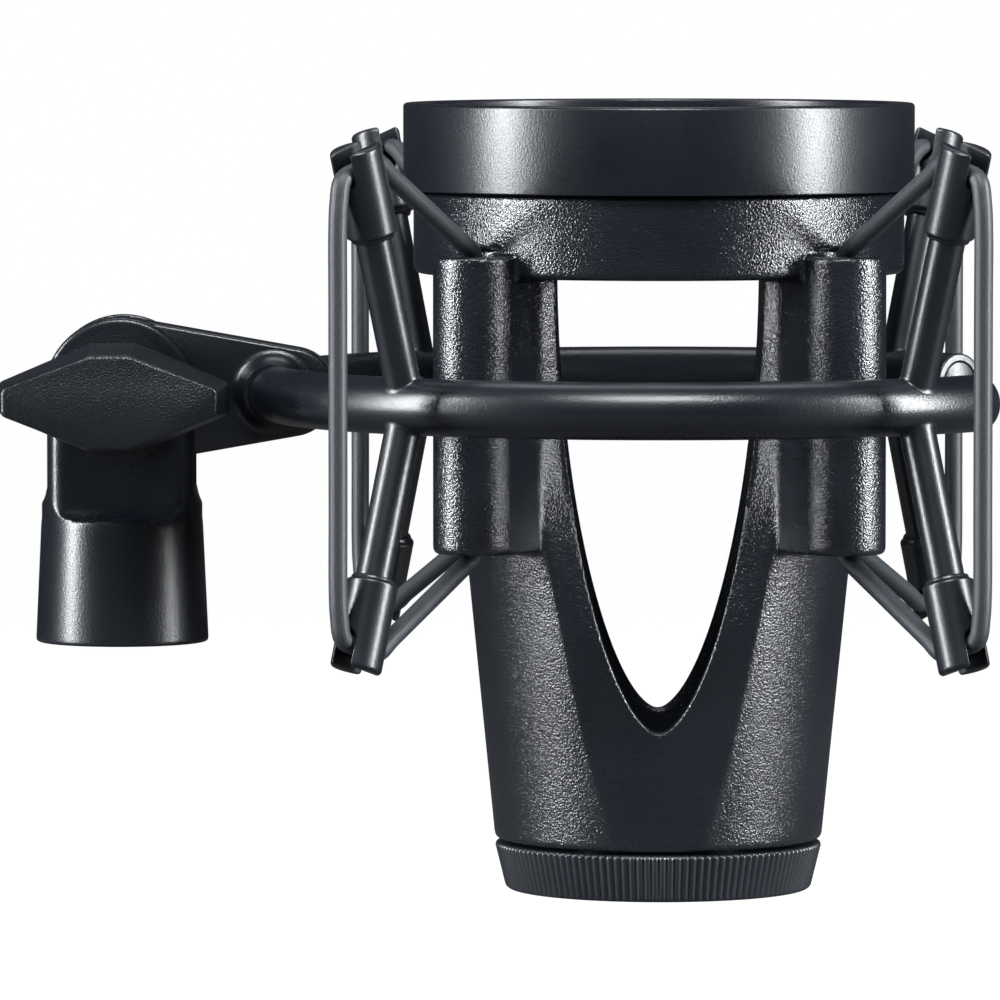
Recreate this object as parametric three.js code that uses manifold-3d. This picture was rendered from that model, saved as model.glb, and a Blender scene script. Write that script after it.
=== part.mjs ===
// Elastic suspension mount for a studio microphone: a stand adapter with a clamped tilting arm,
// an open tube hoop with eight forked posts, four elastic loops and the cradle they carry.
// Millimetres, +Z up. The origin is the centre of the stand adapter's lower mouth, +X points from
// the stand to the cradle and -Y to the side with the clamp knob.
import * as THREE from 'three';
import { mergeVertices } from 'three/addons/utils/BufferGeometryUtils.js';
import { ConvexGeometry } from 'three/addons/geometries/ConvexGeometry.js';
import Module from 'manifold-3d';

const wasm = await Module();
wasm.setup();

// ---- driving dimensions -------------------------------------------------------------------
const GAP = 0.3; // clearance between pieces that touch
const PIVOT_Z = 36.8; // height of the tilt axis, and of the hoop's plane
const CRADLE_X = 78.9; // the cradle's vertical axis

const ADAPTER = { mouthR: 12.7, columnR: 11.8, ledgeZ: 18.5, earR: 11.1, earHalfY: 7.1 };
const COLUMN = { halfX: 10.87, cornerR: 2.4, sideLedgeZ: 19.1, sideFilletR: 3.8 };
const SLOT = { width: 9.2, floorZ: 22.8 };
const SOCKET = { boreR: 9.5, depth: 16.6, threadR: 7.95, insertZ: 0.6 };
const ARM = { thickness: 7.4, bossR: 10.85, endR: 6.5, endX: 25, chamfer: 0.4 };
const COVE = { rootR: 6.5, lipR: 4.6, reach: 8.2 };
const WASHER = { thickness: 0.4, innerR: 3.3, outerR: 9 };
const BOLT = { shankR: 2.9, holeR: 3.25, headR: 4.1 };
const NUT = { acrossFlats: 10, thickness: 5, bossR: 7.8 };
const CLAMP_WASHER = { thickness: 0.8, innerR: 3.3, outerR: 7.4 };
const KNOB = {
  hubR: 9,
  shoulderY: -20,
  frontY: -34.5,
  front: { halfW: 15.5, halfH: 6.75, topFlat: 3, endFlat: 1.95 },
  back: { halfW: 16.8, halfH: 8.1, topFlat: 3.4, endFlat: 2.4 },
  edge: 0.6,
};

const HOOP = { radius: 56.5, tubeR: 4.1, boreR: 3.05, endX: 45.5 };
const PLUG = { depth: 3.5, domeRise: 0.25 };
const STATION_ANGLE = THREE.MathUtils.degToRad(50.5); // of each post pair, from the X axis
const LEAN = THREE.MathUtils.degToRad(17); // of each post, outward from the vertical
const POST = { r: 2.6, spigotR: 1.7, spigotLength: 4.5 };
const FORK = { r: 3.7, start: 25.1, tip: 38.7, slotWidth: 3.3, slotDepth: 5.6, lipR: 3.1 };
const CORD_R = 1.35;
const SEAT_LIFT = 0.7; // how far a cord stands off the bottom of its fork
const STRAND_R = 71.4; // distance of the outer strand from the cradle axis

const RIM = { outerR: 37.5, innerR: 35, lipR: 33.8, bottomZ: 66.5, topZ: 79.2, edge: 0.6 };
const SKIRT = { outerR: 36, innerR: 32.9, bottomZ: 54.3, spigotR: 34.7, spigotTopZ: 76.9 };
const CONE = { radiusAtZero: 26.9, slope: 0.1, bottomZ: -28.9, wall: 2.9, edge: 0.9 };
const FACET_Y = 23.3; // half distance between the cradle's two flat faces
const WINDOW = { halfWidth: 15, topZ: 54.3, height: 66, power: 1.9, roundness: 0.58 };
const GUIDE = { x: 26.5, y: 27.4, r: 6.1, bottomZ: 14.7, topZ: 57.6, holeR: 1.9, mouthR: 3.3, flare: 2.4 };
const WEB = { innerX: 17.4, outerX: 28, innerY: 17, outerY: 26.4, edgeY: 23.5 }; // joins a guide to the cradle's flat face
const FAR = 60; // past every side of the part
const FLANGE = { holeR: 17.6, thickness: 2.5 };
const RING_NUT = { topR: 24.1, bottomR: 22.4, topZ: -29.4, bottomZ: -36.3, boreR: 14.6 };
const NECK = { outerR: 17.1, topZ: -22.8, grooveZ: -26, grooveHeight: 1.5, grooveR: 16.1 };

// ---- materials ----------------------------------------------------------------------------
const satinBlack = new THREE.MeshStandardMaterial({ color: 0x17181a, roughness: 0.45, metalness: 0.3 });
const glossBlack = new THREE.MeshStandardMaterial({ color: 0x121316, roughness: 0.3, metalness: 0 });
const mouldedBlack = new THREE.MeshStandardMaterial({ color: 0x16171a, roughness: 0.55, metalness: 0 });
const elasticGrey = new THREE.MeshStandardMaterial({ color: 0x24282c, roughness: 0.75, metalness: 0 });
const brass = new THREE.MeshStandardMaterial({ color: 0xb08d4a, roughness: 0.35, metalness: 1 });
const steel = new THREE.MeshStandardMaterial({ color: 0x8c8f94, roughness: 0.3, metalness: 1 });
const fibre = new THREE.MeshStandardMaterial({ color: 0x2b2523, roughness: 0.9, metalness: 0 });

// ---- solids from three.js geometry ---------------------------------------------------------
function toSolid(geometry) {
  const bare = geometry.clone();
  bare.deleteAttribute('normal');
  bare.deleteAttribute('uv');
  const merged = mergeVertices(bare, 1e-4);
  const at = merged.attributes.position.array;
  const triangles = [];
  let volume = 0;
  for (let i = 0; i < merged.index.count; i += 3) {
    const [a, b, c] = merged.index.array.slice(i, i + 3);
    if (a === b || b === c || a === c) continue;
    triangles.push([a, b, c]);
    const [p, q, r] = [a, b, c].map((k) => new THREE.Vector3().fromArray(at, 3 * k));
    volume += p.dot(q.cross(r));
  }
  if (volume < 0) triangles.forEach((t) => t.reverse());
  const triVerts = new Uint32Array(triangles.flat());
  return new wasm.Manifold(new wasm.Mesh({ numProp: 3, vertProperties: new Float32Array(at), triVerts }));
}

function toGeometry(solid) {
  const mesh = solid.getMesh();
  const geometry = new THREE.BufferGeometry();
  geometry.setAttribute('position', new THREE.BufferAttribute(mesh.vertProperties, 3));
  geometry.setIndex(new THREE.BufferAttribute(mesh.triVerts, 1));
  geometry.computeVertexNormals();
  return geometry;
}

// A turned solid about +Z from [radius, z] pairs, listed from bottom to top along the outside.
function turned(pairs, segments = 36) {
  const points = pairs.map(([r, z]) => new THREE.Vector2(r, z));
  return new THREE.LatheGeometry(points, segments).rotateX(Math.PI / 2);
}

function disc(radius, bottom, top, segments = 36) {
  return turned([[0, bottom], [radius, bottom], [radius, top], [0, top]], segments);
}

function ring(innerR, outerR, bottom, top, segments = 36) {
  const loop = [[innerR, bottom], [outerR, bottom], [outerR, top], [innerR, top], [innerR, bottom]];
  return turned(loop, segments);
}

// Turns a solid made along +Z so that its axis lies along +Y, at the pivot's height.
function alongY(geometry) {
  return geometry.rotateX(-Math.PI / 2).translate(0, 0, PIVOT_Z);
}

function block(x0, x1, y0, y1, z0, z1) {
  return new THREE.BoxGeometry(x1 - x0, y1 - y0, z1 - z0)
    .translate((x0 + x1) / 2, (y0 + y1) / 2, (z0 + z1) / 2);
}

const model = new THREE.Group();
model.name = 'suspension_mount';

function add(name, shape, material, parent = model) {
  const geometry = shape instanceof THREE.BufferGeometry ? shape : toGeometry(shape);
  const mesh = new THREE.Mesh(geometry, material);
  mesh.name = name;
  parent.add(mesh);
  return mesh;
}

// ---- stand adapter and its threaded insert --------------------------------------------------
// The column's plan, grown outward by grow: round ends, flat front and back, rounded corners.
function columnOutline(grow) {
  const { columnR, earHalfY } = ADAPTER;
  const { cornerR } = COLUMN;
  const cy = earHalfY - cornerR;
  const cx = Math.sqrt((columnR - cornerR) ** 2 - cy ** 2);
  const tangent = Math.atan2(cy, cx);
  const quarter = [];
  for (let i = 0; i <= 4; i += 1) {
    const a = (tangent * i) / 4;
    quarter.push([(columnR + grow) * Math.cos(a), (columnR + grow) * Math.sin(a)]);
  }
  for (let i = 1; i <= 3; i += 1) {
    const a = tangent + ((Math.PI / 2 - tangent) * i) / 3;
    quarter.push([cx + (cornerR + grow) * Math.cos(a), cy + (cornerR + grow) * Math.sin(a)]);
  }
  const right = [...quarter, ...quarter.map(([x, y]) => [-x, y]).reverse()];
  return [...right, ...right.slice(1, -1).map(([x, y]) => [-x, -y])];
}

function prism(outline, bottom, top) {
  const shape = new THREE.Shape(outline.map(([x, y]) => new THREE.Vector2(x, y)));
  const options = { depth: top - bottom, bevelEnabled: false };
  return new THREE.ExtrudeGeometry(shape, options).translate(0, 0, bottom);
}

// What is cut away beyond a side wall and above a ledge, with a round inner corner.
function sideCut(side) {
  const { halfX, sideLedgeZ, sideFilletR } = COLUMN;
  const outline = [[halfX, FAR]];
  for (let i = 0; i <= 4; i += 1) {
    const a = (Math.PI / 2) * (i / 4);
    const dx = sideFilletR * (1 - Math.cos(a));
    outline.push([halfX + dx, sideLedgeZ + sideFilletR * (1 - Math.sin(a))]);
  }
  outline.push([FAR, sideLedgeZ], [FAR, FAR]);
  const cut = prism(outline, -FAR, FAR).rotateX(Math.PI / 2);
  return toSolid(side > 0 ? cut : cut.rotateZ(Math.PI));
}

function makeStandAdapter() {
  const { mouthR, columnR, ledgeZ, earR, earHalfY } = ADAPTER;
  const lower = toSolid(turned([
    [0, 0], [mouthR - 0.4, 0], [mouthR, 0.4], [columnR + 0.05, ledgeZ - 0.7],
    [columnR - 0.65, ledgeZ], [0, ledgeZ],
  ]));
  let column = toSolid(prism(columnOutline(0), ledgeZ - 3, PIVOT_Z));
  const layers = 3;
  for (let i = 0; i < layers; i += 1) {
    const a = (Math.PI / 2) * ((i + 0.5) / layers);
    const b = (Math.PI / 2) * ((i + 1) / layers);
    const grow = COLUMN.cornerR * (1 - Math.sin(a));
    const rise = COLUMN.cornerR * (1 - Math.cos(b));
    column = column.add(toSolid(prism(columnOutline(grow), ledgeZ - 3, ledgeZ + rise)));
  }
  column = column.intersect(toSolid(disc(columnR, ledgeZ - 4, PIVOT_Z + 1)));
  const earTop = toSolid(alongY(disc(earR, -earHalfY, earHalfY)));
  const nutBoss = toSolid(alongY(disc(NUT.bossR, SLOT.width / 2 + 1, earHalfY + NUT.thickness + 0.5)));
  const slot = toSolid(block(-FAR, FAR, -SLOT.width / 2, SLOT.width / 2, SLOT.floorZ, FAR));
  const bore = toSolid(disc(SOCKET.boreR, -1, SOCKET.depth));
  const pin = toSolid(alongY(disc(BOLT.holeR, -30, 30, 24)));
  const hexR = (NUT.acrossFlats / 2 + GAP) / Math.cos(Math.PI / 6);
  const nutPocket = toSolid(alongY(disc(hexR, earHalfY + 0.2, 30, 6)));
  return lower.add(column).subtract(sideCut(1)).subtract(sideCut(-1)).add(earTop).add(nutBoss)
    .subtract(slot).subtract(bore).subtract(pin).subtract(nutPocket);
}

function makeThreadInsert() {
  const { boreR, depth, threadR, insertZ } = SOCKET;
  const outerR = boreR - GAP;
  const top = depth - GAP;
  const entry = threadR + 0.5;
  return turned([
    [threadR, insertZ + 0.5], [entry, insertZ], [outerR, insertZ],
    [outerR, top], [threadR, top], [threadR, insertZ + 0.5],
  ]);
}

// ---- arm: a flat plate that tapers from the pivot to the hoop, with a cove on each side --------
function armOutline() {
  const { bossR, endR, endX, chamfer } = ARM;
  const [big, small] = [bossR - chamfer, endR - chamfer];
  const tangent = Math.acos((big - small) / endX);
  const shape = new THREE.Shape();
  shape.absarc(0, 0, big, tangent, 2 * Math.PI - tangent, false);
  shape.absarc(endX, 0, small, -tangent, tangent, false);
  return shape;
}

function makeCove(side) {
  const { rootR, lipR, reach } = COVE;
  const root = ARM.thickness / 2 - 0.02;
  const profile = [[0, 0], [rootR, 0], [rootR, root]];
  const steps = 4;
  for (let i = 1; i <= steps; i += 1) {
    const a = (Math.PI / 2) * (i / steps);
    profile.push([rootR - (rootR - lipR) * Math.sin(a), reach - (reach - root) * Math.cos(a)]);
  }
  profile.push([0, reach]);
  const cove = turned(profile, 20).rotateX(side > 0 ? -Math.PI / 2 : Math.PI / 2);
  return toSolid(cove.translate(CRADLE_X - HOOP.radius, 0, PIVOT_Z));
}

class HoopPath extends THREE.Curve {
  constructor(startAngle, endAngle) {
    super();
    Object.assign(this, { startAngle, endAngle });
  }

  getPoint(t, target = new THREE.Vector3()) {
    const a = this.startAngle + (this.endAngle - this.startAngle) * t;
    const { radius } = HOOP;
    return target.set(CRADLE_X + radius * Math.cos(a), radius * Math.sin(a), PIVOT_Z);
  }
}

const hoopEndAngle = Math.acos(HOOP.endX / HOOP.radius);
const hoopPath = new HoopPath(hoopEndAngle, 2 * Math.PI - hoopEndAngle);

function hoopBar(radius, boreR, steps, sides) {
  const section = new THREE.Shape().absarc(0, 0, radius, 0, 2 * Math.PI, false);
  if (boreR > 0) section.holes.push(new THREE.Path().absarc(0, 0, boreR, 0, 2 * Math.PI, true));
  const options = { steps, extrudePath: hoopPath, curveSegments: sides, bevelEnabled: false };
  return new THREE.ExtrudeGeometry(section, options);
}

const HOOP_STEPS = 34;
const HOOP_SIDES = 6; // half the facets of its round section

function makeArm() {
  const { thickness, chamfer } = ARM;
  const options = {
    depth: thickness - 2 * chamfer,
    bevelThickness: chamfer,
    bevelSize: chamfer,
    bevelSegments: 1,
    curveSegments: 14,
  };
  const plate = new THREE.ExtrudeGeometry(armOutline(), options)
    .translate(0, 0, chamfer - thickness / 2)
    .rotateX(Math.PI / 2)
    .translate(0, 0, PIVOT_Z);
  const pin = toSolid(alongY(disc(BOLT.holeR, -30, 30, 24)));
  const tube = toSolid(hoopBar(HOOP.tubeR + GAP, 0, HOOP_STEPS, HOOP_SIDES));
  return toSolid(plate).add(makeCove(1)).add(makeCove(-1)).subtract(pin).subtract(tube);
}

// ---- pivot hardware and clamp knob ------------------------------------------------------------
function makeFrictionWasher(side) {
  const inner = ARM.thickness / 2 + 0.25;
  const y0 = side > 0 ? inner : -inner - WASHER.thickness;
  return alongY(ring(WASHER.innerR, WASHER.outerR, y0, y0 + WASHER.thickness, 24));
}

function makeNut() {
  const hexR = NUT.acrossFlats / 2 / Math.cos(Math.PI / 6);
  const start = ADAPTER.earHalfY + 0.5;
  const body = toSolid(alongY(disc(hexR, start, start + NUT.thickness - 0.6, 6)));
  return body.subtract(toSolid(alongY(disc(BOLT.holeR, 0, 30, 24))));
}

const washerBack = -ADAPTER.earHalfY - GAP;
const knobBack = washerBack - CLAMP_WASHER.thickness - GAP;
const BOLT_HEAD_START = KNOB.shoulderY + 2.5;

function makeBolt() {
  const headEnd = knobBack - 0.8;
  const end = ADAPTER.earHalfY + NUT.thickness;
  return alongY(turned([
    [0, BOLT_HEAD_START], [BOLT.headR, BOLT_HEAD_START], [BOLT.headR, headEnd],
    [BOLT.shankR, headEnd], [BOLT.shankR, end - 0.5], [BOLT.shankR - 0.5, end], [0, end],
  ], 24));
}

// The paddle's outline at one depth: a long hexagon with small flats at its four points.
function paddleOutline({ halfW, halfH, topFlat, endFlat }, y) {
  const quarter = [[halfW, endFlat], [halfW - 0.5, endFlat + 0.7], [topFlat + 0.7, halfH - 0.25], [topFlat, halfH]];
  const points = [];
  for (const [sx, sz] of [[1, 1], [-1, 1], [-1, -1], [1, -1]]) {
    quarter.forEach(([x, z]) => points.push(new THREE.Vector3(sx * x, y, PIVOT_Z + sz * z)));
  }
  return points;
}

function makeKnob() {
  const { hubR, shoulderY, frontY, front, back, edge } = KNOB;
  const shrink = (outline, by) => ({
    halfW: outline.halfW - by,
    halfH: outline.halfH - by,
    topFlat: outline.topFlat - by / 3,
    endFlat: outline.endFlat - by / 3,
  });
  const paddle = new ConvexGeometry([
    ...paddleOutline(shrink(front, edge), frontY),
    ...paddleOutline(front, frontY + edge),
    ...paddleOutline(back, shoulderY - edge),
    ...paddleOutline(shrink(back, edge), shoulderY),
  ]);
  const hub = toSolid(alongY(turned([
    [0, shoulderY - 1], [hubR + 0.6, shoulderY - 1], [hubR + 0.6, shoulderY], [hubR, shoulderY + 2],
    [hubR, knobBack - 0.5], [hubR - 0.5, knobBack], [0, knobBack],
  ], 28)));
  const socket = toSolid(alongY(disc(BOLT.headR + GAP, BOLT_HEAD_START - GAP, 0, 24)));
  return toSolid(paddle).add(hub).subtract(socket);
}

// ---- hoop end plugs, posts and fork caps --------------------------------------------------------
function makePlug(side) {
  const r = HOOP.boreR - GAP;
  const plug = turned([[0, -PLUG.depth], [r, -PLUG.depth], [r, -0.2], [r - 0.3, 0], [0, PLUG.domeRise]], 16);
  const end = hoopPath.getPoint(side > 0 ? 0 : 1);
  const along = new THREE.Vector3(Math.sin(hoopEndAngle), -side * Math.cos(hoopEndAngle), 0);
  const turn = new THREE.Quaternion().setFromUnitVectors(new THREE.Vector3(0, 0, 1), along);
  return plug.applyQuaternion(turn).translate(end.x, end.y, end.z);
}

// One post and one fork cap stand on the hoop's centreline, which is their origin here: X is
// radially outward, Z is up, and both lean outward by LEAN.
function leaning(geometry) {
  return geometry.rotateY(LEAN);
}

function makePost() {
  const { r, spigotR, spigotLength } = POST;
  const shoulder = FORK.start - GAP;
  const post = leaning(turned([
    [0, 1], [r, 1], [r, shoulder], [spigotR, shoulder],
    [spigotR, shoulder + spigotLength], [0, shoulder + spigotLength],
  ], 14));
  const saddle = turned([[0, -8], [HOOP.tubeR + GAP, -8], [HOOP.tubeR + GAP, 8], [0, 8]], 24);
  return toSolid(post).subtract(toSolid(saddle.rotateX(Math.PI / 2)));
}

function makeForkCap() {
  const { r, start, tip, slotWidth, slotDepth, lipR } = FORK;
  const outside = leaning(turned([
    [0, start], [lipR, start], [lipR + 0.1, start + 0.5], [r - 0.15, start + 0.75], [r, start + 1.3],
    [r, tip - 0.6], [r - 0.2, tip - 0.15], [r - 0.6, tip], [0, tip],
  ], 14));
  const seat = tip - slotDepth + slotWidth / 2;
  const halfSlot = slotWidth / 2;
  const gap = toSolid(leaning(block(-9, 9, -halfSlot, halfSlot, seat, tip + 5)));
  const round = toSolid(leaning(disc(halfSlot, -9, 9, 10).rotateY(Math.PI / 2).translate(0, 0, seat)));
  const socket = toSolid(leaning(disc(POST.spigotR + GAP, start - 1, start + POST.spigotLength + GAP, 10)));
  return toSolid(outside).subtract(gap).subtract(round).subtract(socket);
}

// ---- elastic loops --------------------------------------------------------------------------------
// Each loop is one round cord: up through its guide, over the upper fork, straight down the outside,
// round the lower fork and back into the guide, where its two ends meet.
function loopPoints(signX, signY) {
  const along = FORK.tip - FORK.slotDepth + CORD_R + SEAT_LIFT;
  const seat = [HOOP.radius + along * Math.sin(LEAN), along * Math.cos(LEAN)];
  const across = FORK.r + 0.1;
  const inner = [seat[0] - across * Math.cos(LEAN), seat[1] + across * Math.sin(LEAN)];
  const outer = [seat[0] + across * Math.cos(LEAN), seat[1] - across * Math.sin(LEAN) - 0.1];
  const onFork = ([radius, rise]) => [
    radius * Math.cos(STATION_ANGLE), radius * Math.sin(STATION_ANGLE), PIVOT_Z + rise,
  ];
  const inGuide = (z) => [GUIDE.x, GUIDE.y, z];
  const half = (up) => [
    inner,
    [seat[0], seat[1] + 0.1],
    outer,
    [STRAND_R - 0.25, outer[1] - 3.2],
    [STRAND_R, outer[1] - 7],
    [STRAND_R, outer[1] - 18],
  ].map(([radius, rise]) => onFork([radius, up * rise]));
  // the straight run from the guide's mouth to the fork
  const run = (up) => {
    const start = new THREE.Vector3(...inGuide(up > 0 ? GUIDE.topZ + 0.2 : GUIDE.bottomZ - 0.2));
    const end = new THREE.Vector3(...half(up)[0]);
    return [0.04, 0.12, 0.85].map((share) => start.clone().lerp(end, share).toArray());
  };
  const middle = (GUIDE.bottomZ + GUIDE.topZ) / 2;
  const points = [
    inGuide(middle + 0.3), inGuide(GUIDE.topZ - 8), inGuide(GUIDE.topZ - 1.6),
    ...run(1), ...half(1),
    ...half(-1).reverse(), ...run(-1).reverse(),
    inGuide(GUIDE.bottomZ + 1.6), inGuide(GUIDE.bottomZ + 8), inGuide(middle - 0.3),
  ];
  return points.map(([x, y, z]) => new THREE.Vector3(CRADLE_X + signX * x, signY * y, z));
}

function makeLoop(signX, signY) {
  const path = new THREE.CatmullRomCurve3(loopPoints(signX, signY), false, 'centripetal');
  const section = new THREE.Shape().absarc(0, 0, CORD_R, 0, 2 * Math.PI, false);
  const options = { steps: 46, extrudePath: path, curveSegments: 4, bevelEnabled: false };
  return new THREE.ExtrudeGeometry(section, options);
}

// ---- cradle ------------------------------------------------------------------------------------------
function coneRadius(z) {
  return CONE.radiusAtZero + CONE.slope * z;
}

// Half of the window's width at height z: upright sides that close to a point like a tulip.
function windowHalfWidth(z) {
  const t = (WINDOW.topZ - z) / WINDOW.height;
  return WINDOW.halfWidth * (1 - t ** WINDOW.power) ** WINDOW.roundness;
}

function makeWindow() {
  const steps = 12;
  const side = [];
  for (let i = 0; i < steps; i += 1) {
    const z = WINDOW.topZ - WINDOW.height * Math.sin((Math.PI / 2) * (i / steps));
    side.push(new THREE.Vector2(windowHalfWidth(z), z));
  }
  const tip = new THREE.Vector2(0, WINDOW.topZ - WINDOW.height);
  const mirrored = side.map((p) => new THREE.Vector2(-p.x, p.y)).reverse();
  const shape = new THREE.Shape([...side, tip, ...mirrored]);
  const options = { depth: 100, bevelEnabled: false };
  return toSolid(new THREE.ExtrudeGeometry(shape, options).translate(0, 0, -50).rotateX(Math.PI / 2));
}

function makeGuide(signX, signY) {
  const { x, y, r, bottomZ, topZ } = GUIDE;
  const boss = new THREE.CylinderGeometry(r, r, topZ - bottomZ, 20).rotateX(Math.PI / 2);
  boss.translate(signX * x, signY * y, (topZ + bottomZ) / 2);
  // the web's outer face runs from its inner edge to where it touches the boss
  const [dx, dy] = [x - WEB.innerX, y - WEB.edgeY];
  const lean = Math.atan2(dy, dx) + Math.asin(r / Math.hypot(dx, dy));
  const web = prism([
    [WEB.innerX, WEB.innerY], [WEB.innerX, WEB.edgeY], [x - r * Math.sin(lean), y + r * Math.cos(lean)],
    [x, y], [WEB.outerX, WEB.outerY], [WEB.outerX, WEB.innerY],
  ].map(([a, b]) => [signX * a, signY * b]), bottomZ, topZ);
  return toSolid(boss).add(toSolid(web));
}

function makeGuideHole(signX, signY) {
  const { x, y, holeR, mouthR, bottomZ, topZ, flare } = GUIDE;
  const hole = turned([
    [0, bottomZ - 1], [mouthR + 0.6, bottomZ - 1], [mouthR, bottomZ], [holeR, bottomZ + flare],
    [holeR, topZ - flare], [mouthR, topZ], [mouthR + 0.6, topZ + 1], [0, topZ + 1],
  ], 10);
  return toSolid(hole.translate(signX * x, signY * y, 0));
}

function makeCradleBody() {
  const { bottomZ, edge, wall } = CONE;
  const skirtLow = SKIRT.bottomZ;
  const floor = 2.6; // the skirt's floor, between the cone's bore and the skirt's
  const flats = toSolid(block(-FAR, FAR, -FACET_Y, FACET_Y, bottomZ - 1, skirtLow));
  const cone = toSolid(turned([
    [0, bottomZ], [coneRadius(bottomZ) - edge, bottomZ], [coneRadius(bottomZ), bottomZ + edge],
    [coneRadius(skirtLow), skirtLow], [0, skirtLow],
  ], 48)).intersect(flats);
  const skirt = toSolid(turned([
    [0, skirtLow], [SKIRT.outerR - 1, skirtLow], [SKIRT.outerR - 0.3, skirtLow + 0.3],
    [SKIRT.outerR, skirtLow + 1], [SKIRT.outerR, RIM.bottomZ - GAP], [SKIRT.spigotR, RIM.bottomZ - GAP],
    [SKIRT.spigotR, SKIRT.spigotTopZ], [0, SKIRT.spigotTopZ],
  ], 48));
  const innerFlats = toSolid(block(-FAR, FAR, wall - FACET_Y, FACET_Y - wall, bottomZ, skirtLow + floor));
  const hollow = toSolid(turned([
    [0, bottomZ + FLANGE.thickness], [coneRadius(bottomZ) - wall, bottomZ + FLANGE.thickness],
    [coneRadius(skirtLow) - wall, skirtLow + floor], [0, skirtLow + floor],
  ], 48)).intersect(innerFlats);
  const mouth = toSolid(disc(SKIRT.innerR, skirtLow + floor - 0.1, FAR + 30, 48));
  const neckHole = toSolid(disc(FLANGE.holeR, bottomZ - 2, bottomZ + 6));
  let body = cone.add(skirt);
  const corners = [[1, 1], [1, -1], [-1, 1], [-1, -1]];
  for (const [sx, sy] of corners) body = body.add(makeGuide(sx, sy));
  body = body.subtract(hollow).subtract(mouth).subtract(neckHole).subtract(makeWindow());
  for (const [sx, sy] of corners) body = body.subtract(makeGuideHole(sx, sy));
  return body;
}

function makeRimRing() {
  const { outerR, innerR, lipR, bottomZ, topZ, edge } = RIM;
  const lipZ = SKIRT.spigotTopZ + GAP;
  return turned([
    [innerR, bottomZ], [outerR - 0.2, bottomZ], [outerR, bottomZ + 0.2], [outerR, topZ - edge],
    [outerR - edge * 0.3, topZ - edge * 0.3], [outerR - edge, topZ], [lipR + 0.4, topZ],
    [lipR, topZ - 0.4], [lipR, lipZ], [innerR, lipZ], [innerR, bottomZ],
  ], 48);
}

function makeRingNut() {
  const { topR, bottomR, topZ, bottomZ, boreR } = RING_NUT;
  const { outerR, topZ: neckTop, grooveZ, grooveHeight, grooveR } = NECK;
  return turned([
    [boreR + 0.6, bottomZ], [bottomR - 0.9, bottomZ], [bottomR - 0.25, bottomZ + 0.3],
    [bottomR + 0.1, bottomZ + 1], [topR, topZ - 0.4], [topR - 0.5, topZ], [outerR, topZ],
    [outerR, grooveZ], [grooveR, grooveZ], [grooveR, grooveZ + grooveHeight], [outerR, grooveZ + grooveHeight],
    [outerR, neckTop], [boreR, neckTop], [boreR, bottomZ + 0.6], [boreR + 0.6, bottomZ],
  ], 44);
}

function makeRetainingClip() {
  const { grooveZ, grooveHeight, grooveR } = NECK;
  const low = grooveZ + 0.2;
  const clip = toSolid(ring(grooveR + 0.3, FLANGE.holeR + 1.9, low, grooveZ + grooveHeight - 0.3));
  return clip.subtract(toSolid(block(0, 40, -2.5, 2.5, low - 1, low + 5)));
}

// ---- assembly ------------------------------------------------------------------------------------------
add('stand_adapter', makeStandAdapter(), satinBlack);
add('thread_insert', makeThreadInsert(), brass);
add('pivot_nut', makeNut(), steel);
add('clamp_washer', alongY(ring(CLAMP_WASHER.innerR, CLAMP_WASHER.outerR, knobBack + GAP, washerBack, 24)), steel);
add('wing_knob', makeKnob(), mouldedBlack);
add('pivot_bolt', makeBolt(), steel);
add('arm', makeArm(), satinBlack);
add('friction_washer_front', makeFrictionWasher(-1), fibre);
add('friction_washer_rear', makeFrictionWasher(1), fibre);
add('hoop', hoopBar(HOOP.tubeR, HOOP.boreR, HOOP_STEPS, HOOP_SIDES), satinBlack);

const postShape = toGeometry(makePost());
const forkShape = toGeometry(makeForkCap());
for (const [depthName, signY] of [['front', -1], ['rear', 1]]) {
  add(`hoop_plug_${depthName}`, makePlug(signY), glossBlack);
  for (const [sideName, signX] of [['left', -1], ['right', 1]]) {
    const corner = `${depthName}_${sideName}`;
    const heading = Math.atan2(signY * Math.sin(STATION_ANGLE), signX * Math.cos(STATION_ANGLE));
    const station = new THREE.Group();
    station.position.set(
      CRADLE_X + HOOP.radius * Math.cos(heading), HOOP.radius * Math.sin(heading), PIVOT_Z,
    );
    station.rotation.z = heading;
    model.add(station);
    for (const [levelName, flip] of [['upper', 0], ['lower', Math.PI]]) {
      const level = new THREE.Group();
      level.rotation.x = flip;
      station.add(level);
      add(`post_${levelName}_${corner}`, postShape, glossBlack, level);
      add(`fork_cap_${levelName}_${corner}`, forkShape, glossBlack, level);
    }
    add(`elastic_loop_${corner}`, makeLoop(signX, signY), elasticGrey);
  }
}

const cradle = new THREE.Group();
cradle.position.x = CRADLE_X;
model.add(cradle);
add('cradle_body', makeCradleBody(), mouldedBlack, cradle);
add('rim_ring', makeRimRing(), satinBlack, cradle);
add('ring_nut', makeRingNut(), mouldedBlack, cradle);
add('retaining_clip', makeRetainingClip(), steel, cradle);

export default model;
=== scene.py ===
"""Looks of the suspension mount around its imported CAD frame. Shapes are worked out in millimetres,
in the CAD's own frame, and become metres when a piece is made."""
import math

import bmesh
import bpy
import numpy as np
from mathutils import Matrix, Vector


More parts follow.
